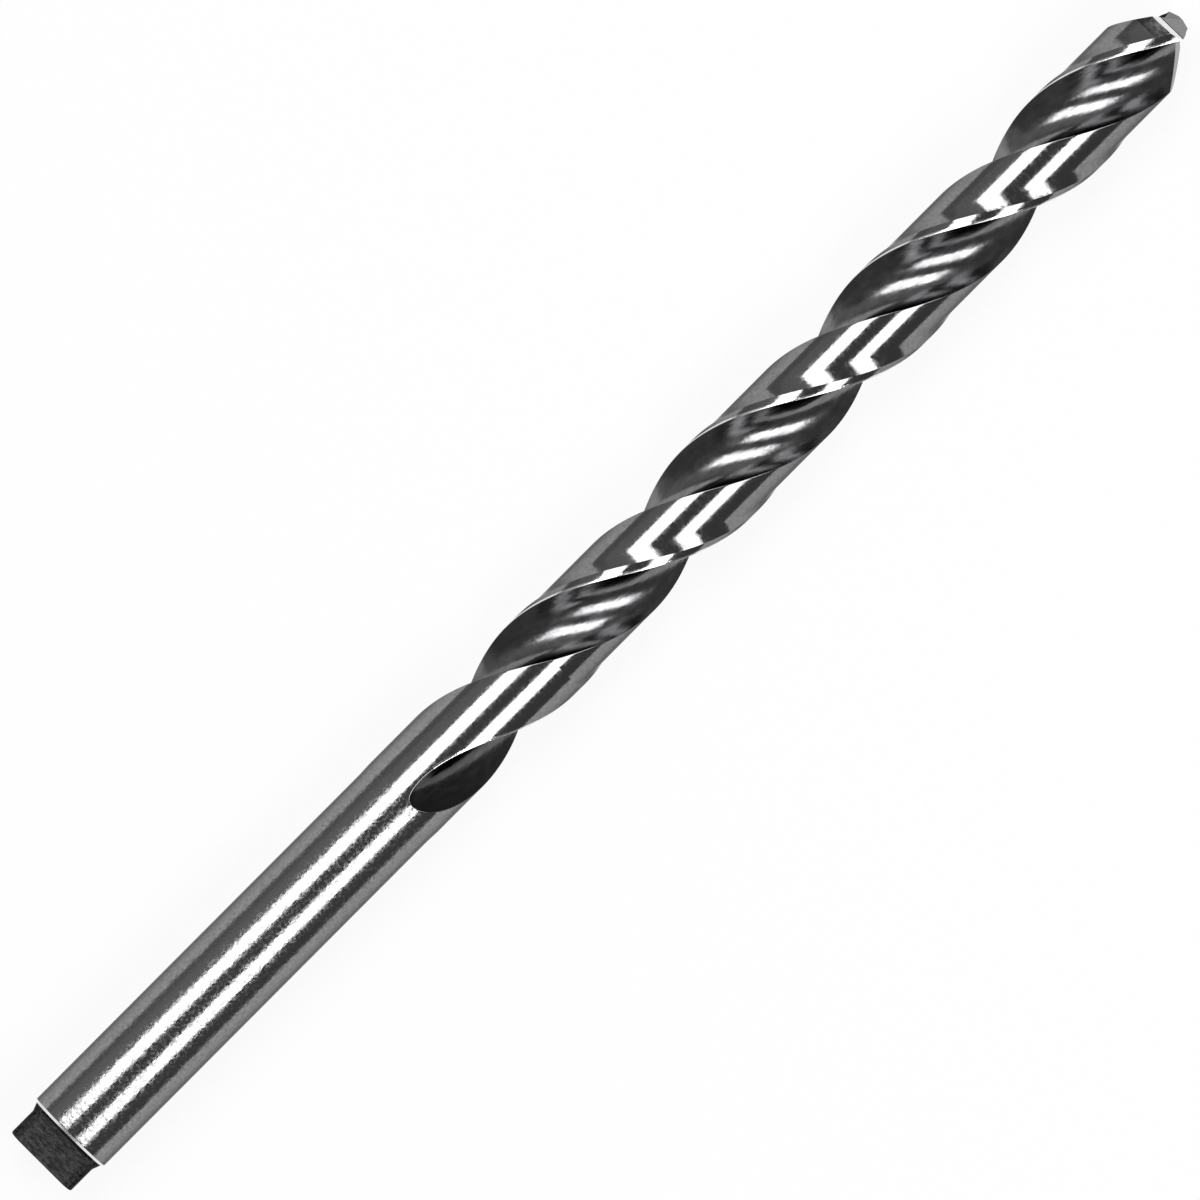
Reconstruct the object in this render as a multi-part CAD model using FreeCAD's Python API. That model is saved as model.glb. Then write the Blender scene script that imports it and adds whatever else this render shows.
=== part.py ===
import FreeCAD, Part
import math
import os
from FreeCAD import Placement, Rotation, Vector

# A taper length twist drill: one piece of steel with a tanged shank at -X, two right-hand
# flutes and a split point at +X. It lies along X on the plane z = 0.
# Angles about the axis are measured from +Z towards -Y, so they grow as the helix advances
# towards the point.

# Lengths along the axis, from the end of the tang
OVERALL_LENGTH = 184.0
TANG_LENGTH = 4.5
FLUTED_LENGTH = 125.2
CLEARED_LENGTH = 102.4

# Diameters
DRILL_DIAMETER = 11.0
SHANK_DIAMETER = 10.85
TANG_DIAMETER = 9.5
CLEARANCE_DEPTH = 0.33

# Tang: a turned neck with two milled flats
TANG_THICKNESS = 6.17
TANG_FLAT_COUNT = 2
TANG_CONE_LENGTH = 1.0
TANG_END_CHAMFER = 0.18
TANG_ROOT_RADIUS = 0.4
SHANK_LEAD_LENGTH = 0.35
SHANK_LEAD_DEPTH = 0.07
NECK_BLEND_LENGTH = 2.0

# Flutes: a leaning rake face and one round arc that leaves the core between the flutes
LEAD = 56.3
CORE_AT_POINT = 3.0
CORE_GROWTH_PER_MM = 0.0055
FLUTE_RADIUS_AT_POINT = 4.0
FLUTE_RADIUS_GROWTH_PER_MM = 0.0038
RAKE_LEAN = 6.0
FLUTE_ARC_END = 120.0
LEADING_EDGE_AT_CORNER = 20.4
RUN_OUT_RADIUS = 26.0
RUN_OUT_LENGTH = 14.2
FLUTE_COUNT = 2

# Lands: a cylindrical margin beside the leading edge, a sloping step, then a relieved back
MARGIN_ARC = 12.5
MARGIN_STEP_ARC = 12.0
CLEARANCE_ARC = 105.0

# Point: 135 degrees, flat primary faces and one split gash behind each lip
POINT_ANGLE = 135.0
LIP_RELIEF = 10.5
SPLIT_EDGE_TURN = 38.5
CHISEL_HALF_WIDTH = 0.15
GASH_DEPTH_AT_CENTRE = 0.55
GASH_FALL = 0.738
GASH_RISE = 1.015

# How far cutters reach past the steel
OVERCUT = 2.5
MARGIN_STEP_OVERRUN = 1.2
SECTION_STEP = 3.0
BLOCK_SIZE = 66.0

# Derived places
drill_radius = DRILL_DIAMETER / 2
shank_radius = SHANK_DIAMETER / 2
cleared_radius = drill_radius - CLEARANCE_DEPTH
flute_start = OVERALL_LENGTH - FLUTED_LENGTH
full_depth_start = flute_start + RUN_OUT_LENGTH
clearance_start = OVERALL_LENGTH - CLEARED_LENGTH
point_slope = 1 / math.tan(math.radians(POINT_ANGLE / 2))
relief_slope = math.tan(math.radians(LIP_RELIEF))
lip_offset_angle = math.asin(CORE_AT_POINT / 2 / drill_radius)
lip_direction = LEADING_EDGE_AT_CORNER - math.degrees(lip_offset_angle)
lip_run = drill_radius * math.cos(lip_offset_angle)
corner_x = OVERALL_LENGTH - point_slope * lip_run + relief_slope * CORE_AT_POINT / 2
land_pitch = 360.0 / FLUTE_COUNT
tang_flat_pitch = 360.0 / TANG_FLAT_COUNT


def leading_edge_angle(x):
    """Angle of a leading edge at a place along the axis, in degrees."""
    return LEADING_EDGE_AT_CORNER + 360.0 * (x - corner_x) / LEAD


def across(x, along_zero, along_quarter):
    """A point in a section: one size along the angle 0, the other a quarter turn on."""
    return Vector(x, -along_quarter, along_zero)


def polar(x, radius, degrees):
    """A point in a section from its distance to the axis and its angle."""
    angle = math.radians(degrees)
    return across(x, radius * math.cos(angle), radius * math.sin(angle))


def turned(shape, degrees):
    """A copy of a shape, turned about the drill's axis."""
    copy = shape.copy()
    copy.rotate(Vector(0, 0, 0), Vector(1, 0, 0), degrees)
    return copy


def make_bar():
    """The turned blank: tang neck, cone, shank and fluted body, with no point yet."""
    tang_radius = TANG_DIAMETER / 2
    cone_start = TANG_LENGTH - TANG_CONE_LENGTH
    lead_radius = shank_radius - SHANK_LEAD_DEPTH
    outline = [
        Vector(0, 0, 0),
        Vector(0, 0, tang_radius - TANG_END_CHAMFER),
        Vector(TANG_END_CHAMFER, 0, tang_radius),
        Vector(cone_start, 0, tang_radius),
        Vector(TANG_LENGTH, 0, lead_radius),
        Vector(TANG_LENGTH + SHANK_LEAD_LENGTH, 0, shank_radius),
        Vector(flute_start - NECK_BLEND_LENGTH, 0, shank_radius),
        Vector(flute_start, 0, drill_radius),
        Vector(OVERALL_LENGTH, 0, drill_radius),
        Vector(OVERALL_LENGTH, 0, 0),
    ]
    face = Part.Face(Part.makePolygon(outline + outline[:1]))
    return face.revolve(Vector(0, 0, 0), Vector(1, 0, 0), 360)


def make_tang_cutter():
    """The block that mills one tang flat, with a rounded root at the shoulder."""
    width = DRILL_DIAMETER + 2 * OVERCUT
    height = drill_radius + OVERCUT
    block = Part.makeBox(TANG_LENGTH + OVERCUT, width, height,
                         Vector(-OVERCUT, -width / 2, TANG_THICKNESS / 2))
    roots = [edge for edge in block.Edges
             if all(abs(v.X - TANG_LENGTH) < 1e-6 and abs(v.Z - TANG_THICKNESS / 2) < 1e-6
                    for v in edge.Vertexes)]
    return block.makeFillet(TANG_ROOT_RADIUS, roots)


def flute_section(x):
    """Closed outline of one flute at a place along the axis, square to the axis."""
    from_point = OVERALL_LENGTH - x
    half_core = (CORE_AT_POINT + CORE_GROWTH_PER_MM * from_point) / 2
    radius = FLUTE_RADIUS_AT_POINT + FLUTE_RADIUS_GROWTH_PER_MM * from_point
    lean = math.radians(RAKE_LEAN)
    inward = (-math.cos(lean), math.sin(lean))
    normal = (math.sin(lean), math.cos(lean))
    # The arc touches the rake face and clears the axis by half the core.
    above_edge = (drill_radius + radius * normal[0], radius * normal[1])
    shift = above_edge[0] * inward[0] + above_edge[1] * inward[1]
    distance = above_edge[0] ** 2 + above_edge[1] ** 2 - (radius + half_core) ** 2
    rake_width = -shift - math.sqrt(shift ** 2 - distance)
    centre = (above_edge[0] + rake_width * inward[0], above_edge[1] + rake_width * inward[1])
    # Towards the shank the grinding wheel climbs out on a circle.
    back = max(0.0, full_depth_start - x)
    lift = RUN_OUT_RADIUS - math.sqrt(RUN_OUT_RADIUS ** 2 - back ** 2)

    def place(u, v):
        return across(x, u, v + lift)

    def on_arc(degrees):
        angle = math.radians(degrees)
        return place(centre[0] + radius * math.cos(angle), centre[1] + radius * math.sin(angle))

    rake_outside = place(drill_radius - OVERCUT * inward[0], -OVERCUT * inward[1])
    arc_start = 270.0 - RAKE_LEAN
    rake_end = on_arc(arc_start)
    heel_outside = on_arc(FLUTE_ARC_END)
    corner = place(drill_radius + OVERCUT, drill_radius + OVERCUT)
    edges = [
        Part.LineSegment(rake_outside, rake_end).toShape(),
        Part.Arc(rake_end, on_arc((arc_start + FLUTE_ARC_END) / 2), heel_outside).toShape(),
        Part.LineSegment(heel_outside, corner).toShape(),
        Part.LineSegment(corner, rake_outside).toShape(),
    ]
    return turned(Part.Wire(edges), leading_edge_angle(x))


def clearance_section(x):
    """Closed outline of the sector behind one margin, with a sloping side as its step."""
    last = -MARGIN_ARC - CLEARANCE_ARC
    step_top = polar(x, drill_radius, -MARGIN_ARC)
    step_foot = polar(x, cleared_radius, -MARGIN_ARC - MARGIN_STEP_ARC)
    slope = (step_top - step_foot).normalize()
    corners = [step_foot - slope * MARGIN_STEP_OVERRUN,
               polar(x, cleared_radius - OVERCUT, last),
               polar(x, DRILL_DIAMETER, last),
               polar(x, DRILL_DIAMETER, -MARGIN_ARC),
               step_top + slope * MARGIN_STEP_OVERRUN]
    return turned(Part.makePolygon(corners + corners[:1]), leading_edge_angle(x))


def stations(start, end, step):
    """Evenly spaced places from start to end, about one step apart."""
    count = max(1, math.ceil((end - start) / step))
    return [start + (end - start) * i / count for i in range(count + 1)]


def make_flute_cutter():
    """One flute as a loft of turned sections, from its run-out to past the point."""
    places = stations(flute_start - OVERCUT, OVERALL_LENGTH + OVERCUT, SECTION_STEP)
    return Part.makeLoft([flute_section(x) for x in places], True)


def make_clearance_cutter():
    """The relief of one land: a helical sector with the relieved cylinder taken out of it."""
    end = OVERALL_LENGTH + OVERCUT
    places = stations(clearance_start, end, SECTION_STEP)
    sector = Part.makeLoft([clearance_section(x) for x in places], True)
    kept = Part.makeCylinder(cleared_radius, end, Vector(0, 0, 0), Vector(1, 0, 0))
    return sector.cut(kept)


def half_space(point, normal):
    """A large block on the side of a plane that the normal points to."""
    corner = Vector(-BLOCK_SIZE / 2, -BLOCK_SIZE / 2, 0)
    block = Part.makeBox(BLOCK_SIZE, BLOCK_SIZE, BLOCK_SIZE, corner)
    block.Placement = Placement(point, Rotation(Vector(0, 0, 1), normal))
    return block


def make_primary_cutter():
    """Everything in front of one primary face, which slopes back from its lip."""
    apex = Vector(OVERALL_LENGTH, 0, 0)
    normal = across(1, point_slope, -relief_slope)
    return turned(half_space(apex, normal), lip_direction)


def make_gash_cutter():
    """The split gash: a wall beside the centre and a floor that falls to the heel."""
    turn = math.radians(SPLIT_EDGE_TURN)
    wall_normal = across(0, math.sin(turn), -math.cos(turn))
    wall_along = across(0, math.cos(turn), math.sin(turn))
    root = wall_normal * CHISEL_HALF_WIDTH
    root.x = OVERALL_LENGTH - GASH_DEPTH_AT_CENTRE
    floor_normal = Vector(1, 0, 0) - wall_along * GASH_RISE + wall_normal * GASH_FALL
    wedge = half_space(root, floor_normal).common(half_space(root, wall_normal))
    return turned(wedge, lip_direction)


def make_drill():
    """The finished drill, on the axis, with the tang's end at x = 0."""
    drill = make_bar()
    grinding = [make_clearance_cutter(), make_flute_cutter(), make_primary_cutter(),
                make_gash_cutter()]
    for shape in grinding:
        for land in range(FLUTE_COUNT):
            drill = drill.cut(turned(shape, land * land_pitch))
    milling = make_tang_cutter()
    for flat in range(TANG_FLAT_COUNT):
        drill = drill.cut(turned(milling, flat * tang_flat_pitch))
    return drill


drill = make_drill()
drill.translate(Vector(-OVERALL_LENGTH / 2, 0, drill_radius))
solid = drill.Solids[0]
print("solids", len(drill.Solids), "valid", drill.isValid(), "faces", len(solid.Faces),
      "volume", round(solid.Volume, 1))
box = solid.BoundBox
print("box", [round(v, 3) for v in (box.XMin, box.XMax, box.YMin, box.YMax, box.ZMin, box.ZMax)])

os.makedirs("parts", exist_ok=True)
solid.exportStep("parts/twist_drill.step")
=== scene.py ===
# %% [markdown]
# # A twist drill
# The real object is one long bar of hardened steel. A grinding wheel has cut two flutes that
# wind round it, a second wheel has lowered the lands behind their edges, and a third has
# ground the point. This lesson makes each of those surfaces in the same order as the workshop
# does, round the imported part, which is loaded first and never moved or changed.

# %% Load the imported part
import math

import bmesh
import bpy
import numpy as np
from mathutils import Matrix, Vector


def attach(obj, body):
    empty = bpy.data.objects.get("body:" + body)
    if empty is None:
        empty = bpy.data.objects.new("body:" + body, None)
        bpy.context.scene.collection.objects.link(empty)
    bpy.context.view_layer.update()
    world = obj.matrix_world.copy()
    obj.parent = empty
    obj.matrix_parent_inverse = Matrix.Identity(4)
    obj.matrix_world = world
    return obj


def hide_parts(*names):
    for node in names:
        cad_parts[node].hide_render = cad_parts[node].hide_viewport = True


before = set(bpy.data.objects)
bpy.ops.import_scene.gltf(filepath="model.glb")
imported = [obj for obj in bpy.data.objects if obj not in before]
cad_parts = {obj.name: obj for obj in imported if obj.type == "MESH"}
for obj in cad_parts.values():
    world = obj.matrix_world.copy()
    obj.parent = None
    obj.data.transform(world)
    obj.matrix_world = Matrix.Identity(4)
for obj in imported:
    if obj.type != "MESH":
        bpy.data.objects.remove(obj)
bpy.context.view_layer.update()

MM = 0.001


# %% [markdown]
# ## Sizes
# A drill is drawn from few numbers: its length, its diameter, the lead of its helix and the
# form of its flute. They are written once, in millimetres, as on the workshop drawing, and
# every surface below is worked out from them. Places along the drill are measured from the
# end of the tang. Angles round it start at the top and grow as the helix climbs to the point.

# %% Sizes of the bar and the tang
OVERALL_LENGTH = 184.0
DRILL_RADIUS = 5.5
SHANK_RADIUS = 5.425
SHANK_END = 56.8
TANG_RADIUS = 4.75
TANG_LENGTH = 4.5
TANG_THICKNESS = 6.17
TANG_ROOT_RADIUS = 0.4
CHAMFER_END = 4.8
print("the bar is %.1f mm long and %.1f mm across" % (OVERALL_LENGTH, 2 * DRILL_RADIUS))

# %% [markdown]
# ## Flutes, lands and point
# The core between the flutes is thin at the point and grows towards the shank, where the drill
# has to be stiff, and the radius of the flute grows with it. The lips don't meet on the axis:
# each lies ahead of it by half the core. The place of the cutting corners follows from that,
# from the angle of the point and from the relief behind each lip.

# %% Sizes of the flutes, the lands and the point
FLUTE_START = 58.8
RUN_OUT_LENGTH = 14.2
RUN_OUT_RADIUS = 26.0
FULL_DEPTH_START = FLUTE_START + RUN_OUT_LENGTH
LEAD = 56.3
CORE_AT_POINT = 3.0
CORE_GROWTH = 0.0055
FLUTE_RADIUS_AT_POINT = 4.0
FLUTE_RADIUS_GROWTH = 0.0038
RAKE_LEAN = math.radians(6.0)
CLEARANCE_START = 81.6
CLEARANCE_DEPTH = 0.33
CLEARED_RADIUS = DRILL_RADIUS - CLEARANCE_DEPTH
MARGIN_ARC = 12.5
LEADING_EDGE_AT_CORNER = 20.4
POINT_SLOPE = 1 / math.tan(math.radians(135.0 / 2))
LIP_RELIEF_SLOPE = math.tan(math.radians(10.5))
LIP_OFFSET_ANGLE = math.asin(CORE_AT_POINT / 2 / DRILL_RADIUS)
LIP_DIRECTION = LEADING_EDGE_AT_CORNER - math.degrees(LIP_OFFSET_ANGLE)
CORNER_X = (OVERALL_LENGTH - POINT_SLOPE * DRILL_RADIUS * math.cos(LIP_OFFSET_ANGLE)
            + LIP_RELIEF_SLOPE * CORE_AT_POINT / 2)
print("the cutting corners are %.2f mm from the end of the tang" % CORNER_X)

# %% [markdown]
# ## The section of one flute
# Cut the drill square across and each flute is one straight rake face, which leans a little,
# and one round arc that runs on to the heel of the next land. Near the shank the wheel climbs
# out of the bar on a circle, so there the same outline is lifted until it leaves the steel.
# The outline is solved exactly, because a sampled picture of it would blur the sharp edges.

# %% Solve the flute's section
HALVINGS = 50
RAKE_INWARD = np.array((-math.cos(RAKE_LEAN), math.sin(RAKE_LEAN)))


def flute_circle(x):
    """Centre and radius of the flute's arc at x, the lift of the wheel and the rake's width."""
    from_point = OVERALL_LENGTH - x
    half_core = (CORE_AT_POINT + CORE_GROWTH * from_point) / 2
    radius = FLUTE_RADIUS_AT_POINT + FLUTE_RADIUS_GROWTH * from_point
    above_edge = np.array((DRILL_RADIUS + radius * math.sin(RAKE_LEAN),
                           radius * math.cos(RAKE_LEAN)))
    shift = above_edge @ RAKE_INWARD
    distance = above_edge @ above_edge - (radius + half_core) ** 2
    rake_width = -shift - math.sqrt(shift ** 2 - distance)
    back = max(0.0, FULL_DEPTH_START - x)
    lift = RUN_OUT_RADIUS - math.sqrt(RUN_OUT_RADIUS ** 2 - back ** 2)
    centre = above_edge + rake_width * RAKE_INWARD + (0.0, lift)
    return centre, radius, lift, rake_width


def flute_depth(x):
    """How deep the flute is at x; it is below zero where the wheel is clear of the bar."""
    centre, radius = flute_circle(x)[:2]
    return DRILL_RADIUS - (np.linalg.norm(centre) - radius)


def run_out_end():
    """The place where the wheel first touches the bar, found by halving a stretch."""
    clear, cut = SHANK_END, FULL_DEPTH_START
    for _ in range(HALVINGS):
        middle = (clear + cut) / 2
        if flute_depth(middle) > 0:
            cut = middle
        else:
            clear = middle
    return cut


RUN_OUT_END = run_out_end()
print("each flute runs out %.2f mm from the end of the tang" % RUN_OUT_END)

# %% [markdown]
# ## The flute, point by point
# The line of a flute starts at its heel, follows the arc and ends with the straight rake at
# the leading edge, and its points are set along it in even steps. The heel comes twice, once
# for a full land and once for a lowered one. Close to the run-out the straight rake has been
# lifted out of the bar, and the arc itself meets the surface.

# %% Points of a flute
FLUTE_POINTS = 40
BARELY_CUT = 1e-4
HEEL_STEP_SHARE = 0.09
NEARLY_ZERO = 1e-9


def polar(radius, degrees):
    """A point of a section from its distance to the axis and its angle."""
    angle = math.radians(degrees)
    return (radius * math.cos(angle), radius * math.sin(angle))


def flute_points(x):
    """Points of the flute from its heel to its leading edge, the heel twice, and the angles."""
    x = max(x, RUN_OUT_END + BARELY_CUT)
    centre, radius, lift, rake_width = flute_circle(x)
    reach = np.linalg.norm(centre)
    facing = math.atan2(centre[1], centre[0])

    def crossing(circle):
        """Where the arc meets a circle round the axis, as an angle from its outermost point."""
        return math.acos(max(-1.0, min(1.0, (circle ** 2 - reach ** 2 - radius ** 2)
                                       / (2 * radius * reach))))

    def on_arc(angle):
        return centre + radius * np.array((math.cos(angle), math.sin(angle)))

    step = min(CLEARANCE_DEPTH, HEEL_STEP_SHARE * flute_depth(x))
    outer_heel = facing + crossing(DRILL_RADIUS)
    inner_heel = facing + crossing(DRILL_RADIUS - step)
    edge = np.array((DRILL_RADIUS, lift))
    run = edge @ RAKE_INWARD
    room = run ** 2 - lift ** 2
    rake_start = -run - math.sqrt(room) if room > 0 else math.inf
    arc_end = 1.5 * math.pi - RAKE_LEAN    # the arc runs on into the rake without a corner
    if rake_start > rake_width:
        rake_start = rake_width
        arc_end = facing - crossing(DRILL_RADIUS) + 2 * math.pi
    arc_length = radius * (arc_end - inner_heel)
    whole = arc_length + rake_width - rake_start
    points = [on_arc(outer_heel)]
    for i in range(FLUTE_POINTS):
        along = whole * i / (FLUTE_POINTS - 1)
        if along <= arc_length + NEARLY_ZERO:
            points.append(on_arc(inner_heel + along / radius))
        else:
            points.append(edge + (rake_width - (along - arc_length)) * RAKE_INWARD)
    angles = [math.degrees(math.atan2(p[1], p[0])) for p in (points[0], points[1], points[-1])]
    return points, angles


SAMPLE_PLACE = 150.0
sample_angles = flute_points(SAMPLE_PLACE)[1]
print("%.0f mm from the end of the tang a flute spans %.1f degrees"
      % (SAMPLE_PLACE, sample_angles[0] - sample_angles[-1]))

# %% [markdown]
# ## Half of the section
# A half turn of the outline is the margin that guides the drill, the hollow step where the
# relieving wheel's corner stopped, the lowered land, and then the flute. No real edge is quite
# sharp, so the heel and the leading edge get a tiny round that catches a thin line of light.
# Every section gets the same number of points, so that neighbours join in four-sided faces.

# %% Points of half a section
MARGIN_POINTS = 5
STEP_POINTS = 10
LAND_POINTS = 20
EDGE_POINTS = 7
EDGE_ROUND = 0.07
EDGE_ROUND_SHARE = 0.4
STEP_WIDTH = 1.82
STEP_ARC = math.degrees(STEP_WIDTH / CLEARED_RADIUS)
STEP_RADIUS = (STEP_WIDTH ** 2 + CLEARANCE_DEPTH ** 2) / (2 * CLEARANCE_DEPTH)


def rounded(before, corner, after):
    """Points of a small round that takes the place of a sharp corner."""
    ends = []
    for neighbour in (before, after):
        way = np.array(neighbour) - corner
        size = np.linalg.norm(way)
        ends.append(corner + way * min(EDGE_ROUND, EDGE_ROUND_SHARE * size)
                    / max(size, NEARLY_ZERO))
    return [(1 - t) ** 2 * ends[0] + 2 * t * (1 - t) * np.array(corner) + t ** 2 * ends[1]
            for t in np.linspace(0, 1, EDGE_POINTS)]


def half_section(x, relieved):
    """The outline from one leading edge back round to the next, with the land lowered or not."""
    flute, (outer_heel, inner_heel, leading) = flute_points(x)
    inner = CLEARED_RADIUS if relieved else DRILL_RADIUS
    heel = (inner_heel if relieved else outer_heel) - 180
    margin = [polar(DRILL_RADIUS, leading - MARGIN_ARC * i / (MARGIN_POINTS - 1))
              for i in range(1, MARGIN_POINTS)]
    step_end = leading - MARGIN_ARC - STEP_ARC
    step = []
    for i in range(1, STEP_POINTS + 1):
        left = 1 - i / STEP_POINTS
        rise = STEP_RADIUS - math.sqrt(STEP_RADIUS ** 2 - (left * STEP_WIDTH) ** 2)
        step.append(polar(inner + (rise if relieved else 0.0), step_end + STEP_ARC * left))
    land = [polar(inner, step_end + (heel - step_end) * i / LAND_POINTS)
            for i in range(1, LAND_POINTS)]
    wall = [-p for p in (flute[1:] if relieved else flute)]
    heel_round = rounded(land[-1], wall[0], wall[1])
    edge_round = rounded(wall[-2], wall[-1], (-margin[0][0], -margin[0][1]))
    inside = wall[1:-1]
    if relieved:
        inside = [heel_round[-1]] + inside
    return [tuple(p) for p in margin + step + land + heel_round + inside + edge_round]


# The margin and the land each leave out one end, and a column lies between two points.
LAND_COLUMNS = (MARGIN_POINTS - 1) + STEP_POINTS + (LAND_POINTS - 1) + EDGE_POINTS - 1
HALF_COLUMNS = len(half_section(SAMPLE_PLACE, True))
FLUTE_COLUMNS = range(LAND_COLUMNS, HALF_COLUMNS - EDGE_POINTS)
print("half a section has %d points, %d of them in the flute" % (HALF_COLUMNS, len(FLUTE_COLUMNS)))

# %% [markdown]
# ## The straight blank
# All sections are set one behind the other with no twist, like a bar with two straight
# grooves. The tang and the shank are plain rings, each a place and a radius, with the same
# number of points. The sections lie closer where the flutes run out, because their outline
# changes fast there. The blank is longer than the drill, so that the point can be cut from it.

# %% Places of the sections
BLANK_LENGTH = OVERALL_LENGTH + 2.0
SECTION_SPACING = 0.42
RUN_OUT_SPACING = 0.12
RUN_OUT_TIP = 1.5
TANG_RINGS = [(0.0, 0.0), (0.0, 1.6), (0.0, 3.2), (0.0, TANG_RADIUS - 0.18),
              (0.05, TANG_RADIUS - 0.08), (0.18, TANG_RADIUS), (1.5, TANG_RADIUS),
              (3.5, TANG_RADIUS)]
SHANK_RINGS = [(TANG_LENGTH, SHANK_RADIUS - 0.3), (CHAMFER_END, SHANK_RADIUS - 0.02),
               (CHAMFER_END + 0.2, SHANK_RADIUS), (20.0, SHANK_RADIUS), (38.0, SHANK_RADIUS),
               (SHANK_END, SHANK_RADIUS)]


def spread(start, end, spacing):
    """Evenly spaced places from start up to end, without the end."""
    return list(np.linspace(start, end, max(1, math.ceil((end - start) / spacing)),
                            endpoint=False))


circle = [np.array(p) / DRILL_RADIUS for p in half_section(RUN_OUT_END, False)]
sections = [(x, [tuple(p * radius) for p in circle]) for x, radius in TANG_RINGS + SHANK_RINGS]
full_places = (spread(RUN_OUT_END, RUN_OUT_END + RUN_OUT_TIP, RUN_OUT_SPACING)
               + spread(RUN_OUT_END + RUN_OUT_TIP, CLEARANCE_START, SECTION_SPACING)
               + [CLEARANCE_START])
relieved_places = spread(CLEARANCE_START, BLANK_LENGTH, SECTION_SPACING) + [BLANK_LENGTH]
sections += [(x, half_section(x, False)) for x in full_places]
sections += [(x, half_section(x, True)) for x in relieved_places]
print("%d rings and %d fluted sections, %d of them with lowered lands"
      % (len(TANG_RINGS + SHANK_RINGS), len(full_places + relieved_places), len(relieved_places)))

# %% [markdown]
# ## Faces and their kinds
# Neighbouring sections are joined by four-sided faces. Each face also keeps a number for the
# way its surface looks, as a named attribute of the mesh, and the finishes are given out by
# that number later. A few faces get painted light: the shoulder of the shank and the leading
# edges a painted highlight, and the end of each land at the point painted shade.

# %% Build the straight blank
# The fourth kind carries a painted highlight; the third is the dark tang, and at the point it is
# painted shade.
LAND, FLUTE, DARK, PAINTED_HIGHLIGHT, SHANK = range(5)
BRIGHT_EDGE_START = RUN_OUT_END + 5.0
DARK_END_START = OVERALL_LENGTH - 3.6


def surface_kind(x, column):
    """What a face is, from the section in front of it and its column in half a section."""
    if x <= FLUTE_START:
        # The shoulder between the tang and the shank carries a painted highlight.
        return DARK if x <= TANG_LENGTH else PAINTED_HIGHLIGHT if x <= CHAMFER_END else SHANK
    if column in FLUTE_COLUMNS:
        return FLUTE
    # The leading edges past the run-out carry a painted highlight.
    if column > FLUTE_COLUMNS[-1]:
        return PAINTED_HIGHLIGHT if x > BRIGHT_EDGE_START else LAND
    # Near the point the lowered lands are painted dark, as painted shade.
    return DARK if x > DARK_END_START and column >= MARGIN_POINTS - 1 else LAND


columns = 2 * HALF_COLUMNS
vertices = []
for x, half in sections:
    ring = half + [(-u, -v) for u, v in half]
    vertices += [(x * MM, -v * MM, u * MM) for u, v in ring]
faces, kinds = [], []
for row in range(len(sections) - 1):
    for column in range(columns):
        following = (column + 1) % columns
        faces.append((row * columns + column, row * columns + following,
                      (row + 1) * columns + following, (row + 1) * columns + column))
        kinds.append(surface_kind(sections[row + 1][0], column % HALF_COLUMNS))
faces.append(tuple(reversed(range((len(sections) - 1) * columns, len(sections) * columns))))
kinds.append(LAND)
blank_mesh = bpy.data.meshes.new("straight_blank")
blank_mesh.from_pydata(vertices, [], faces)
blank_mesh.attributes.new("surface_kind", "INT", "FACE").data.foreach_set("value", kinds)
blank = bpy.data.objects.new("straight_blank", blank_mesh)
bpy.context.scene.collection.objects.link(blank)
print("straight blank: %d sections, %d faces" % (len(sections), len(faces)))

# %% [markdown]
# ## A node helper
# Materials, Geometry Nodes and the world are all trees of nodes. One small helper adds a node,
# sets its options and fills its inputs, from another node or with a plain value. Some nodes
# have several inputs of the same name, so an input can also be given by its number, as in i0.


# %% Add a node and fill its inputs
def add_node(tree, node_type, settings=None, **inputs):
    """A new node, with its options from settings and its inputs by name, or by number as iN."""
    made = tree.nodes.new(node_type)
    for name, value in (settings or {}).items():
        setattr(made, name, value)
    for key, value in inputs.items():
        numbered = key[0] == "i" and key[1:].isdigit()
        socket = made.inputs[int(key[1:]) if numbered else key.replace("_", " ")]
        if isinstance(value, bpy.types.NodeSocket):
            tree.links.new(value, socket)
        else:
            socket.default_value = value
    return made


print("made the helper", add_node.__name__)

# %% [markdown]
# ## Steel finishes
# The whole drill is the same bright steel, but each wheel leaves its own grain. A picture of
# steel wrapped round the drill would stretch in the flutes, so each finish is made of noise
# that is stretched along the marks of its wheel. The noise moves the roughness, the shade and a
# fine bump. It reads Object coordinates, so the grain lies on the steel from every side.

# %% What every finish can do
# Of these colours the second is a painted highlight, and the third is the tang's dark scale, also
# painted as shade at the point.
STEEL_COLOUR = (0.26, 0.26, 0.265, 1.0)
PAINTED_HIGHLIGHT_COLOUR = (0.8, 0.8, 0.81, 1.0)
SCALE_AND_SHADE_COLOUR = (0.045, 0.045, 0.046, 1.0)
NOISE_LOW, NOISE_HIGH = 0.3, 0.7


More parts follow.
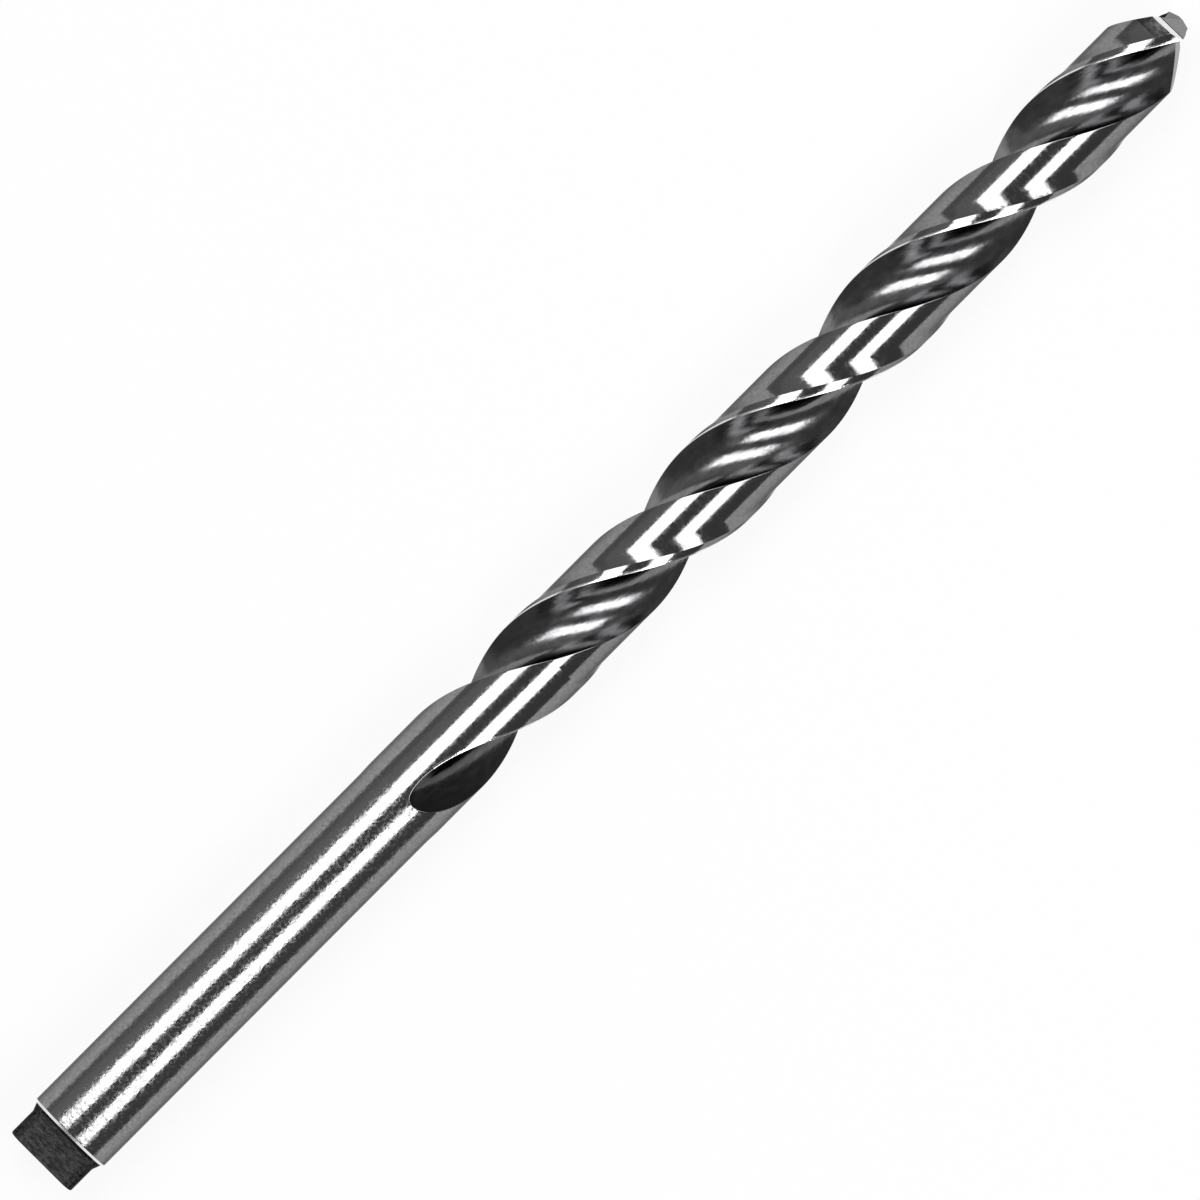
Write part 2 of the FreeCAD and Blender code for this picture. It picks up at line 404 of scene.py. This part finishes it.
class Finish:
    """A steel material that takes its grain, shade and bump one after the other."""

    def __init__(self, name, roughness, colour=STEEL_COLOUR, rim=0.35):
        self.colour = colour
        self.material = bpy.data.materials.new(name)
        self.material.use_nodes = True
        self.tree = self.material.node_tree
        self.bsdf = self.tree.nodes["Principled BSDF"]
        self.bsdf.inputs["Base Color"].default_value = colour
        self.bsdf.inputs["Metallic"].default_value = 1.0
        self.bsdf.inputs["Specular Tint"].default_value = (rim, rim, rim, 1.0)
        self.bsdf.inputs["Roughness"].default_value = roughness
        self.object_place = self.add("ShaderNodeTexCoord").outputs["Object"]

    def add(self, node_type, settings=None, **inputs):
        """A new node in this material."""
        return add_node(self.tree, node_type, settings, **inputs)

    def centred(self):
        """Object coordinates measured from the drill's axis."""
        return self.add("ShaderNodeMapping", Vector=self.object_place,
                        Location=(0.0, 0.0, -DRILL_RADIUS * MM)).outputs["Vector"]

    def unwound(self):
        """Coordinates turned back with the helix, so that its lines run straight along X."""
        centred = self.centred()
        x = self.add("ShaderNodeSeparateXYZ", Vector=centred).outputs["X"]
        turn = self.add("ShaderNodeMath", {"operation": "MULTIPLY"}, i0=x,
                        i1=-2 * math.pi / (LEAD * MM)).outputs[0]
        return self.add("ShaderNodeVectorRotate", {"rotation_type": "X_AXIS"}, Vector=centred,
                        Angle=turn).outputs[0]

    def grain(self, place, scale, detail=2.0):
        """Noise that is stretched by a different scale along each axis."""
        stretched = self.add("ShaderNodeVectorMath", {"operation": "MULTIPLY"}, i0=place,
                             i1=scale).outputs[0]
        return self.add("ShaderNodeTexNoise", Vector=stretched, Scale=1.0,
                        Detail=detail).outputs["Fac"]

    def ranged(self, value, start, end, low, high):
        """Turns a value from start to end into one from low to high, and goes no further."""
        return self.add("ShaderNodeMapRange", Value=value, From_Min=start, From_Max=end,
                        To_Min=low, To_Max=high).outputs[0]

    def wander(self, noise, low, high):
        """A value that wanders with the noise between low and high."""
        return self.ranged(noise, NOISE_LOW, NOISE_HIGH, low, high)

    def lengthwise(self, start, end, low, high):
        """A value that goes from low to high between two places along the drill."""
        x = self.add("ShaderNodeSeparateXYZ", Vector=self.object_place).outputs["X"]
        return self.ranged(x, (start - OVERALL_LENGTH / 2) * MM, (end - OVERALL_LENGTH / 2) * MM,
                           low, high)

    def shade(self, *factors):
        """Multiplies the base colour by one or more factors."""
        shaded = self.colour[:3]
        for factor in factors:
            shaded = self.add("ShaderNodeVectorMath", {"operation": "SCALE"}, i0=shaded,
                              Scale=factor).outputs[0]
        self.tree.links.new(shaded, self.bsdf.inputs["Base Color"])

    def bump(self, *layers):
        """Adds layers of (height, depth in metres), one on the other."""
        normal = None
        for height, depth in layers:
            made = self.add("ShaderNodeBump", Height=height, Distance=depth)
            if normal is not None:
                self.tree.links.new(normal, made.inputs["Normal"])
            normal = made.outputs["Normal"]
        self.tree.links.new(normal, self.bsdf.inputs["Normal"])

    def roughness(self, noise, low, high):
        """Lets the roughness wander between two values."""
        self.tree.links.new(self.wander(noise, low, high), self.bsdf.inputs["Roughness"])


print("bright steel has the colour", STEEL_COLOUR[:3])

# %% [markdown]
# ## The shank and the lands
# Both were ground round the axis. The shank is the coarser: its long reflections have ragged
# edges, so its roughness wanders far and its bump is deep. The lands are smooth and mirror the
# lamps as clean bands. They are a little darker than the shank, except close to it, where a
# factor that falls along the drill keeps them lighter until they are lowered.

# %% Round ground steel
shank_steel = Finish("ring_ground_steel", 0.15)
shank_place = shank_steel.centred()
shank_steel.bump((shank_steel.grain(shank_place, (1700, 1300, 1300), 2.0), 2.4e-5),
                 (shank_steel.grain(shank_place, (4200, 3600, 3600), 3.0), 8e-6))
shank_specks = shank_steel.grain(shank_place, (2600, 2400, 2400))
shank_steel.roughness(shank_specks, 0.04, 0.3)
shank_steel.shade(shank_steel.wander(shank_specks, 1.1, 0.85))

land_steel = Finish("land_ground_steel", 0.12)
land_place = land_steel.centred()
land_steel.bump((land_steel.grain(land_place, (2400, 900, 900), 2.0), 1.1e-5),
                (land_steel.grain(land_place, (5200, 2400, 2400), 3.0), 3e-6))
land_specks = land_steel.grain(land_place, (2600, 1600, 1600))
land_steel.roughness(land_specks, 0.06, 0.2)
land_steel.shade(land_steel.lengthwise(FLUTE_START, CLEARANCE_START, 1.13, 1.0),
                 land_steel.wander(land_specks, 0.97, 0.79))
print("made", shank_steel.material.name, "and", land_steel.material.name)

# %% [markdown]
# ## The flutes
# The wheel's marks follow the helix, so here the coordinates are turned back with it before
# the noise is stretched. Without that the grain would run across the flute. Where the flutes
# run out their steel is painted dark, as painted shade, and it lightens until a little past the
# start of full depth.

# %% Helix ground steel
# The painted shade on the flutes ends here.
PAINTED_SHADE_END = FULL_DEPTH_START + 10.0

flute_steel = Finish("helix_ground_steel", 0.27, rim=0.0)
helix_place = flute_steel.unwound()
flute_steel.bump((flute_steel.grain(helix_place, (420, 1500, 1500), 3.0), 1.6e-5),
                 (flute_steel.grain(helix_place, (2400, 2800, 2800), 3.0), 1.2e-5))
flute_steel.roughness(flute_steel.grain(helix_place, (500, 1200, 1200)), 0.13, 0.26)
# The first factor paints shade where the flutes run out; the second is a random tone.
flute_steel.shade(
    flute_steel.lengthwise(RUN_OUT_END, PAINTED_SHADE_END, 0.33, 1.0),
    flute_steel.wander(flute_steel.grain(helix_place, (900, 1500, 1500), 3.0), 0.68, 0.94))
print("made %s, dark up to %.1f mm" % (flute_steel.material.name, PAINTED_SHADE_END))

# %% [markdown]
# ## The point and the tang
# The point was ground last and has short straight scratches. Its outer strips, the shoulder of
# the shank and the leading edges share a much paler steel, which is a painted highlight. The
# tang is nearly black and rough, and its dark steel is also painted on the ends of the lands at
# the point, as painted shade.

# %% Scratched steel and dark steel
point_steel = Finish("point_ground_steel", 0.2, rim=0.7)
# This pale steel paints a highlight on the strips behind the lips, the shoulder and the leading
# edges.
highlight_steel = Finish("painted_highlight_steel", 0.14, PAINTED_HIGHLIGHT_COLOUR, rim=1.0)
for steel in (point_steel, highlight_steel):
    scratches = steel.grain(steel.centred(), (1200, 9000, 1200), 3.0)
    steel.bump((scratches, 1.2e-5))
    steel.shade(steel.wander(scratches, 0.86, 1.12))

# The tang's own dark steel, which also paints shade on the ends of the lands and the dark line at
# the point.
tang_and_shade_steel = Finish("dark_turned_and_painted_shade_steel", 0.38, SCALE_AND_SHADE_COLOUR)
tang_place = tang_and_shade_steel.centred()
tang_and_shade_steel.bump((tang_and_shade_steel.grain(tang_place, (3000, 1100, 1100), 3.0), 5e-5))
tang_and_shade_steel.shade(tang_and_shade_steel.ranged(tang_and_shade_steel.grain(tang_place, (3600, 1500, 1500)),
                                   0.35, 0.65, 0.6, 1.5))
print("made", [steel.material.name for steel in (point_steel, highlight_steel, tang_and_shade_steel)])

# %% [markdown]
# ## Wind the helix
# The flutes of the real drill wind because the bar turns while it passes the wheel: one whole
# turn for each lead. That is a rule, so Geometry Nodes apply it: each point turns about the
# axis in step with its place along it. The shank doesn't turn, so the place is held at the
# start of the flutes there. The same tree lifts the axis off the floor and gives out finishes.
# Every face gets the finish of the lands first, so that none stays bare, and then its own.

# %% A Geometry Nodes tree that winds the blank
SIZE_INPUTS = ("Lead", "Winding start", "Corner place", "Corner angle", "Axis height", "Back")
FINISH_INPUTS = {FLUTE: "Flute finish", DARK: "Dark and painted shade finish", PAINTED_HIGHLIGHT: "Painted highlight finish",
                 SHANK: "Shank finish"}


def winding_tree():
    """Turns every point about X in step with its place, then hands out the finishes."""
    tree = bpy.data.node_groups.new("wind_the_helix", "GeometryNodeTree")
    tree.interface.new_socket("Geometry", in_out="INPUT", socket_type="NodeSocketGeometry")
    for name in SIZE_INPUTS:
        tree.interface.new_socket(name, in_out="INPUT", socket_type="NodeSocketFloat")
    for name in ("Land finish", *FINISH_INPUTS.values()):
        tree.interface.new_socket(name, in_out="INPUT", socket_type="NodeSocketMaterial")
    tree.interface.new_socket("Geometry", in_out="OUTPUT", socket_type="NodeSocketGeometry")

    def calculate(operation, first, second):
        return add_node(tree, "ShaderNodeMath", {"operation": operation}, i0=first,
                        i1=second).outputs[0]

    given = add_node(tree, "NodeGroupInput").outputs
    place = add_node(tree, "GeometryNodeInputPosition").outputs[0]
    x = add_node(tree, "ShaderNodeSeparateXYZ", Vector=place).outputs["X"]
    held = calculate("MAXIMUM", x, given["Winding start"])
    turns = calculate("DIVIDE", calculate("SUBTRACT", held, given["Corner place"]),
                      given["Lead"])
    angle = calculate("ADD", calculate("MULTIPLY", turns, 2 * math.pi), given["Corner angle"])
    wound = add_node(tree, "ShaderNodeVectorRotate", {"rotation_type": "X_AXIS"}, Vector=place,
                     Angle=angle).outputs[0]
    back = calculate("MULTIPLY", given["Back"], -1.0)
    shift = add_node(tree, "ShaderNodeCombineXYZ", X=back, Z=given["Axis height"]).outputs[0]
    moved = add_node(tree, "GeometryNodeSetPosition", Geometry=given["Geometry"],
                     Position=wound, Offset=shift).outputs[0]
    kind = add_node(tree, "GeometryNodeInputNamedAttribute", {"data_type": "INT"},
                    Name="surface_kind").outputs[0]
    real = add_node(tree, "GeometryNodeRealizeInstances", Geometry=moved).outputs[0]
    dressed = add_node(tree, "GeometryNodeSetMaterial", Geometry=real,
                       Material=given["Land finish"]).outputs[0]
    for number, name in FINISH_INPUTS.items():
        chosen = calculate("COMPARE", kind, float(number))
        dressed = add_node(tree, "GeometryNodeSetMaterial", Geometry=dressed, Selection=chosen,
                           Material=given[name]).outputs[0]
    add_node(tree, "NodeGroupOutput", i0=dressed)
    return tree


def give_inputs(modifier, values):
    """Sets a modifier's inputs by the identifier of each named socket."""
    for item in modifier.node_group.interface.items_tree:
        if item.item_type == "SOCKET" and item.in_out == "INPUT" and item.name in values:
            modifier[item.identifier] = values[item.name]


winding = blank.modifiers.new("wind_the_helix", "NODES")
winding.node_group = winding_tree()
give_inputs(winding, {
    "Lead": LEAD * MM, "Winding start": RUN_OUT_END * MM, "Corner place": CORNER_X * MM,
    "Corner angle": math.radians(LEADING_EDGE_AT_CORNER), "Axis height": DRILL_RADIUS * MM,
    "Back": OVERALL_LENGTH / 2 * MM,
    "Land finish": land_steel.material, "Flute finish": flute_steel.material,
    "Dark and painted shade finish": tang_and_shade_steel.material, "Painted highlight finish": highlight_steel.material,
    "Shank finish": shank_steel.material})
print("the tree has %d nodes and winds %.2f turns"
      % (len(winding.node_group.nodes), (OVERALL_LENGTH - RUN_OUT_END) / LEAD))

# %% [markdown]
# ## One closed shell
# A Boolean needs a plain closed mesh whose faces all point outwards. The wound shape is copied
# out of the modifier. Its end ring at the tang has no width, so its points lie on each other,
# and they are merged before the faces are turned the right way.

# %% Turn the wound blank into a plain shell
MERGE_DISTANCE = 1e-7


def plain_copy(source, name):
    """The evaluated shape of an object as a new object with a plain mesh."""
    graph = bpy.context.evaluated_depsgraph_get()
    mesh = bpy.data.meshes.new_from_object(source.evaluated_get(graph))
    mesh.name = name
    made = bpy.data.objects.new(name, mesh)
    bpy.context.scene.collection.objects.link(made)
    return made


def clean_shell(mesh):
    """Merges points that lie on each other and turns every face outwards."""
    shell = bmesh.new()
    shell.from_mesh(mesh)
    bmesh.ops.remove_doubles(shell, verts=shell.verts, dist=MERGE_DISTANCE)
    bmesh.ops.dissolve_degenerate(shell, edges=shell.edges, dist=MERGE_DISTANCE)
    bmesh.ops.recalc_face_normals(shell, faces=shell.faces)
    if shell.calc_volume(signed=True) < 0:
        bmesh.ops.reverse_faces(shell, faces=shell.faces)
    volume = shell.calc_volume(signed=True) / MM ** 3
    open_edges = sum(1 for edge in shell.edges if len(edge.link_faces) != 2)
    shell.to_mesh(mesh)
    shell.free()
    return volume, open_edges


wound_bar = plain_copy(blank, "wound_bar")
bpy.data.objects.remove(blank)
print("wound bar: %.0f cubic mm, %d open edges" % clean_shell(wound_bar.data))

# %% [markdown]
# ## Blocks that cut
# The point and the tang are flat cuts, and a flat cut is a block that is taken away. Each block
# is made where the drawing has it, much larger than the cut, so that only its one or two
# cutting planes reach the steel. The new faces keep the finish of their block.

# %% Make a cutting block
BLOCK_REACH = 14.0


def cutter(name, corners, faces_of, finish):
    """A closed block that will be taken away, with the finish that it leaves."""
    mesh = bpy.data.meshes.new(name)
    mesh.from_pydata([Vector(c) * MM for c in corners], [], faces_of)
    mesh.materials.append(finish.material)
    clean_shell(mesh)
    made = bpy.data.objects.new(name, mesh)
    bpy.context.scene.collection.objects.link(made)
    return made


def half_space(name, planes, finish):
    """A block that reaches far beyond one or two planes, on the side of their normals."""
    box = bmesh.new()
    bmesh.ops.create_cube(box, size=2 * BLOCK_REACH)
    bmesh.ops.translate(box, verts=box.verts, vec=planes[0][0])
    for point, normal in planes:
        cut = bmesh.ops.bisect_plane(box, geom=box.verts[:] + box.edges[:] + box.faces[:],
                                     plane_co=point, plane_no=normal, clear_inner=True)
        rim = [e for e in cut["geom_cut"] if isinstance(e, bmesh.types.BMEdge)]
        bmesh.ops.contextual_create(box, geom=rim)
    corners = [v.co.copy() for v in box.verts]
    box.verts.index_update()
    sides = [[v.index for v in face.verts] for face in box.faces]
    box.free()
    return cutter(name, corners, sides, finish)


def place_on_drill(degrees):
    """Turns about the axis and moves from the drawing's axis to the drill's place."""
    return (Matrix.Translation(Vector((-OVERALL_LENGTH / 2, 0, DRILL_RADIUS)) * MM)
            @ Matrix.Rotation(math.radians(degrees), 4, "X"))


print("each block reaches %.0f mm past its planes" % BLOCK_REACH)

# %% [markdown]
# ## The point
# Four cuts make the point: one sloping face behind each lip, and one gash behind each that
# splits the middle, so that the drill starts without wandering. A gash has a wall along the
# axis and a sloping floor, so its block has two planes.

# %% Blocks for the point
SPLIT_EDGE_TURN = math.radians(38.5)
CHISEL_HALF_WIDTH = 0.15
GASH_DEPTH_AT_CENTRE = 0.55
GASH_FALL = 0.738
GASH_RISE = 1.015


def across(x, u, v):
    """A direction or place from its part along the axis, along angle zero and a quarter on."""
    return Vector((x, -v, u))


apex = across(OVERALL_LENGTH, 0, 0)
lip_normal = across(1, POINT_SLOPE, -LIP_RELIEF_SLOPE)
wall_normal = across(0, math.sin(SPLIT_EDGE_TURN), -math.cos(SPLIT_EDGE_TURN))
wall_along = across(0, math.cos(SPLIT_EDGE_TURN), math.sin(SPLIT_EDGE_TURN))
gash_root = wall_normal * CHISEL_HALF_WIDTH
gash_root.x = OVERALL_LENGTH - GASH_DEPTH_AT_CENTRE
floor_normal = across(1, 0, 0) - wall_along * GASH_RISE + wall_normal * GASH_FALL


def point_cutters(side):
    """The blocks for one side of the point, first the lip's face and then the gash."""
    primary = half_space("primary_%d" % side, [(apex, lip_normal)], highlight_steel)
    gash = half_space("gash_%d" % side, [(gash_root, floor_normal), (gash_root, wall_normal)],
                      point_steel)
    for block in (primary, gash):
        block.data.transform(place_on_drill(LIP_DIRECTION + 180 * side))
    return [primary, gash]


print("the gashes start %.2f mm behind the tip" % GASH_DEPTH_AT_CENTRE)

# %% [markdown]
# ## The tang
# The tang is what is left between two milled flats. The cutter's corner was round, so the step
# up to the shank has a small round root, drawn as a quarter of a circle in the block's side.

# %% Blocks for the tang
TANG_ROOT_POINTS = 7
TANG_BLOCK_START = -3.0
TANG_BLOCK_TOP = 9.0
TANG_BLOCK_HALF_WIDTH = 8.0

root_arc = [(TANG_LENGTH - TANG_ROOT_RADIUS * (1 - math.sin(a)),
             TANG_THICKNESS / 2 + TANG_ROOT_RADIUS * (1 - math.cos(a)))
            for a in np.linspace(0, math.pi / 2, TANG_ROOT_POINTS)]
tang_outline = ([(TANG_BLOCK_START, TANG_THICKNESS / 2)] + root_arc
                + [(TANG_LENGTH, TANG_BLOCK_TOP), (TANG_BLOCK_START, TANG_BLOCK_TOP)])


def tang_cutter(side):
    """The block above one flat of the tang."""
    count = len(tang_outline)
    corners = [(x, y, z) for y in (-TANG_BLOCK_HALF_WIDTH, TANG_BLOCK_HALF_WIDTH)
               for x, z in tang_outline]
    ends = [tuple(range(count)), tuple(range(2 * count - 1, count - 1, -1))]
    walls = [(i, (i + 1) % count, count + (i + 1) % count, count + i) for i in range(count)]
    block = cutter("tang_%d" % side, corners, ends + walls, tang_and_shade_steel)
    block.data.transform(place_on_drill(180 * side))
    return block


print("the flats lie %.2f mm apart" % TANG_THICKNESS)

# %% [markdown]
# ## Cut the bar
# All six blocks are taken away with exact Booleans, which keep the sharp edges between the
# cuts and the winding faces. Then the blocks are removed, and one plain mesh is left.

# %% Take the blocks away
cutters = []
for side in range(2):
    cutters += point_cutters(side) + [tang_cutter(side)]
for block in cutters:
    cut = wound_bar.modifiers.new(block.name, "BOOLEAN")
    cut.operation = "DIFFERENCE"
    cut.solver = "EXACT"
    cut.material_mode = "TRANSFER"
    cut.object = block
drill = plain_copy(wound_bar, "twist_drill_ground")
for spare in [wound_bar] + cutters:
    bpy.data.objects.remove(spare)
print("drill: %.0f cubic mm, %d open edges" % clean_shell(drill.data))

# %% [markdown]
# ## Finish the point
# Behind each lip only an outer strip shines on the real drill, and a fine dark line parts it
# from the greyer middle. Both are painted here, the strip as a painted highlight and the line as
# the painted dark edge of that highlight. Both run square to the axis, so the ground faces are
# cut at two places along it and the pieces get their own finishes. Then the drill is shaded
# smooth, and its edges stay sharp where two faces meet at more than a slight angle.

# %% Strips behind the lips
CREASE_START = 182.27
CREASE_END = 182.37
SMOOTH_ANGLE = math.radians(17)


def finish_point(mesh):
    """Leaves a painted highlight only on the outer strip behind each lip, with a painted dark line
    inside it.
    """
    slots = {material.name: i for i, material in enumerate(mesh.materials)}
    lip = slots[highlight_steel.material.name]
    shell = bmesh.new()
    shell.from_mesh(mesh)
    for place in (CREASE_START, CREASE_END):
        ground = [face for face in shell.faces if face.material_index == lip
                  and face.calc_center_median().x > 0]
        edges = list({edge for face in ground for edge in face.edges})
        corners = list({corner for face in ground for corner in face.verts})
        bmesh.ops.bisect_plane(shell, geom=corners + edges + ground, dist=MERGE_DISTANCE,
                               plane_co=((place - OVERALL_LENGTH / 2) * MM, 0, 0),
                               plane_no=(1, 0, 0))
    for face in shell.faces:
        place = face.calc_center_median().x / MM + OVERALL_LENGTH / 2
        if face.material_index == lip and place > CREASE_START:
            # The crease gets the dark steel, a painted dark line along the painted highlight.
            inner = point_steel if place > CREASE_END else tang_and_shade_steel
            face.material_index = slots[inner.material.name]
    shell.to_mesh(mesh)
    shell.free()


finish_point(drill.data)
drill.data.shade_smooth()
drill.data.set_sharp_from_angle(angle=SMOOTH_ANGLE)
drill.data.calc_loop_triangles()
print("%d triangles, finishes %s"
      % (len(drill.data.loop_triangles), [m.name for m in drill.data.materials]))

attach(drill, "root")
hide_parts("twist_drill")

# %% [markdown]
# ## The floor
# The drill lies on white paper. Lit paper would need so much light that the steel burns out, so
# to the camera, and in the steel's reflections, most of the paper's white comes from a plain
# emission. The rest is a matt surface, which keeps the drill's faint shadow.

# %% White paper
PAPER_HALF_WIDTH = 1.5
PAPER_COLOUR = (0.8, 0.8, 0.8, 1)
PAPER_WHITE_SHARE = 0.905


def make_floor():
    """A sheet of white paper that keeps the drill's shadow."""
    mesh = bpy.data.meshes.new("paper")
    corners = [(x * PAPER_HALF_WIDTH, y * PAPER_HALF_WIDTH, 0)
               for x, y in ((-1, -1), (1, -1), (1, 1), (-1, 1))]
    mesh.from_pydata(corners, [], [(0, 1, 2, 3)])
    floor = bpy.data.objects.new("paper", mesh)
    bpy.context.scene.collection.objects.link(floor)
    paper = bpy.data.materials.new("white_paper")
    paper.use_nodes = True
    tree = paper.node_tree
    tree.nodes.clear()
    rays = add_node(tree, "ShaderNodeLightPath").outputs
    seen = rays["Is Camera Ray"]
    for name in ("Is Glossy Ray", "Is Transmission Ray"):
        seen = add_node(tree, "ShaderNodeMath", {"operation": "MAXIMUM"}, i0=seen,
                        i1=rays[name]).outputs[0]
    share = add_node(tree, "ShaderNodeMath", {"operation": "MULTIPLY"}, i0=seen,
                     i1=PAPER_WHITE_SHARE).outputs[0]
    matt = add_node(tree, "ShaderNodeBsdfDiffuse", Color=PAPER_COLOUR).outputs[0]
    white = add_node(tree, "ShaderNodeEmission", Strength=1.0).outputs[0]
    mixed = add_node(tree, "ShaderNodeMixShader", i0=share, i1=matt, i2=white).outputs[0]
    add_node(tree, "ShaderNodeOutputMaterial", Surface=mixed)
    mesh.materials.append(paper)
    return floor


make_floor()
print("the paper is %.1f m wide" % (2 * PAPER_HALF_WIDTH))

# %% [markdown]
# ## The lamps
# Two long soft boxes hang over the drill, one on each side and level with its axis, because a
# round bar shows each lamp as one long bright stripe. How wide a stripe is, and where it lies,
# depends mostly on the angles that its lamp covers, so the lamps are set by angle from overhead.

# %% Two soft boxes
LAMP_START = -0.18
LAMP_END = 0.31
LAMP_DISTANCE = 0.6
LAMP_RADIANCE = 5.5


def make_soft_box(name, side, near_angle, far_angle):
    """A long lamp over the drill that covers some degrees of the sky on one side."""
    centre = math.radians((near_angle + far_angle) / 2)
    length = LAMP_END - LAMP_START
    width = 2 * LAMP_DISTANCE * math.tan(math.radians((far_angle - near_angle) / 2))
    data = bpy.data.lights.new(name, "AREA")
    data.shape = "RECTANGLE"
    data.size, data.size_y = length, width
    data.energy = LAMP_RADIANCE * math.pi * length * width
    lamp = bpy.data.objects.new(name, data)
    bpy.context.scene.collection.objects.link(lamp)
    lamp.location = ((LAMP_START + LAMP_END) / 2, side * LAMP_DISTANCE * math.sin(centre),
                     LAMP_DISTANCE * math.cos(centre))
    lamp.rotation_euler = (-side * centre, 0, 0)
    lamp.visible_camera = False
    print("%s: %.0f mm wide, %.2f W" % (name, width / MM, data.energy))


make_soft_box("soft_box_left", side=1, near_angle=11, far_angle=40)
make_soft_box("soft_box_right", side=-1, near_angle=22, far_angle=48)

# %% [markdown]
# ## The room
# The rest of the room stays dim, and so the middle of the bar stays dark between its stripes.
# One wall, beside the left soft box, is lighter and has a darker skirting along its foot. Both
# change softly with the direction's Y, which is all that a bar along X can show of a room.

# %% A dim room with one lighter wall
world = bpy.data.worlds.new("studio")
bpy.context.scene.world = world
world.use_nodes = True
studio = world.node_tree
direction = add_node(studio, "ShaderNodeTexCoord").outputs["Generated"]
sideways = add_node(studio, "ShaderNodeSeparateXYZ", Vector=direction).outputs["Y"]


def soft_step(start, end, low, high):
    """Goes softly from low to high while the direction's Y goes from start to end."""
    return add_node(studio, "ShaderNodeMapRange", {"interpolation_type": "SMOOTHSTEP"},
                    Value=sideways, From_Min=start, From_Max=end, To_Min=low,
                    To_Max=high).outputs[0]


wall = soft_step(start=0.55, end=0.7, low=0.13, high=0.34)
skirting = soft_step(start=0.93, end=0.97, low=1.0, high=0.72)
tone = add_node(studio, "ShaderNodeMath", {"operation": "MULTIPLY"}, i0=wall,
                i1=skirting).outputs[0]
background = studio.nodes["Background"]
background.inputs["Color"].default_value = (1, 1, 1, 1)
studio.links.new(tone, background.inputs["Strength"])
bpy.context.scene.view_settings.view_transform = "Standard"
print("the room's tree has %d nodes" % len(studio.nodes))

# %% [markdown]
# ## The camera
# The camera looks straight down from far away, so that the drill is drawn with almost no
# perspective, and it is turned so that the drill runs up to the right.

# %% Camera
FRAME_WIDTH = 136.74 * MM
FRAME_CENTRE = (-1.69 * MM, 0.05 * MM)
CAMERA_TURN = math.radians(-45.1)

camera_data = bpy.data.cameras.new("camera")
camera_data.lens = 600.0
camera_data.sensor_width = 36.0
camera = bpy.data.objects.new("camera", camera_data)
bpy.context.scene.collection.objects.link(camera)
reach = FRAME_WIDTH * camera_data.lens / camera_data.sensor_width
camera.location = (*FRAME_CENTRE, DRILL_RADIUS * MM + reach)
camera.rotation_euler = (0, 0, CAMERA_TURN)
bpy.context.scene.camera = camera
print("camera %.2f m above the drill" % reach)
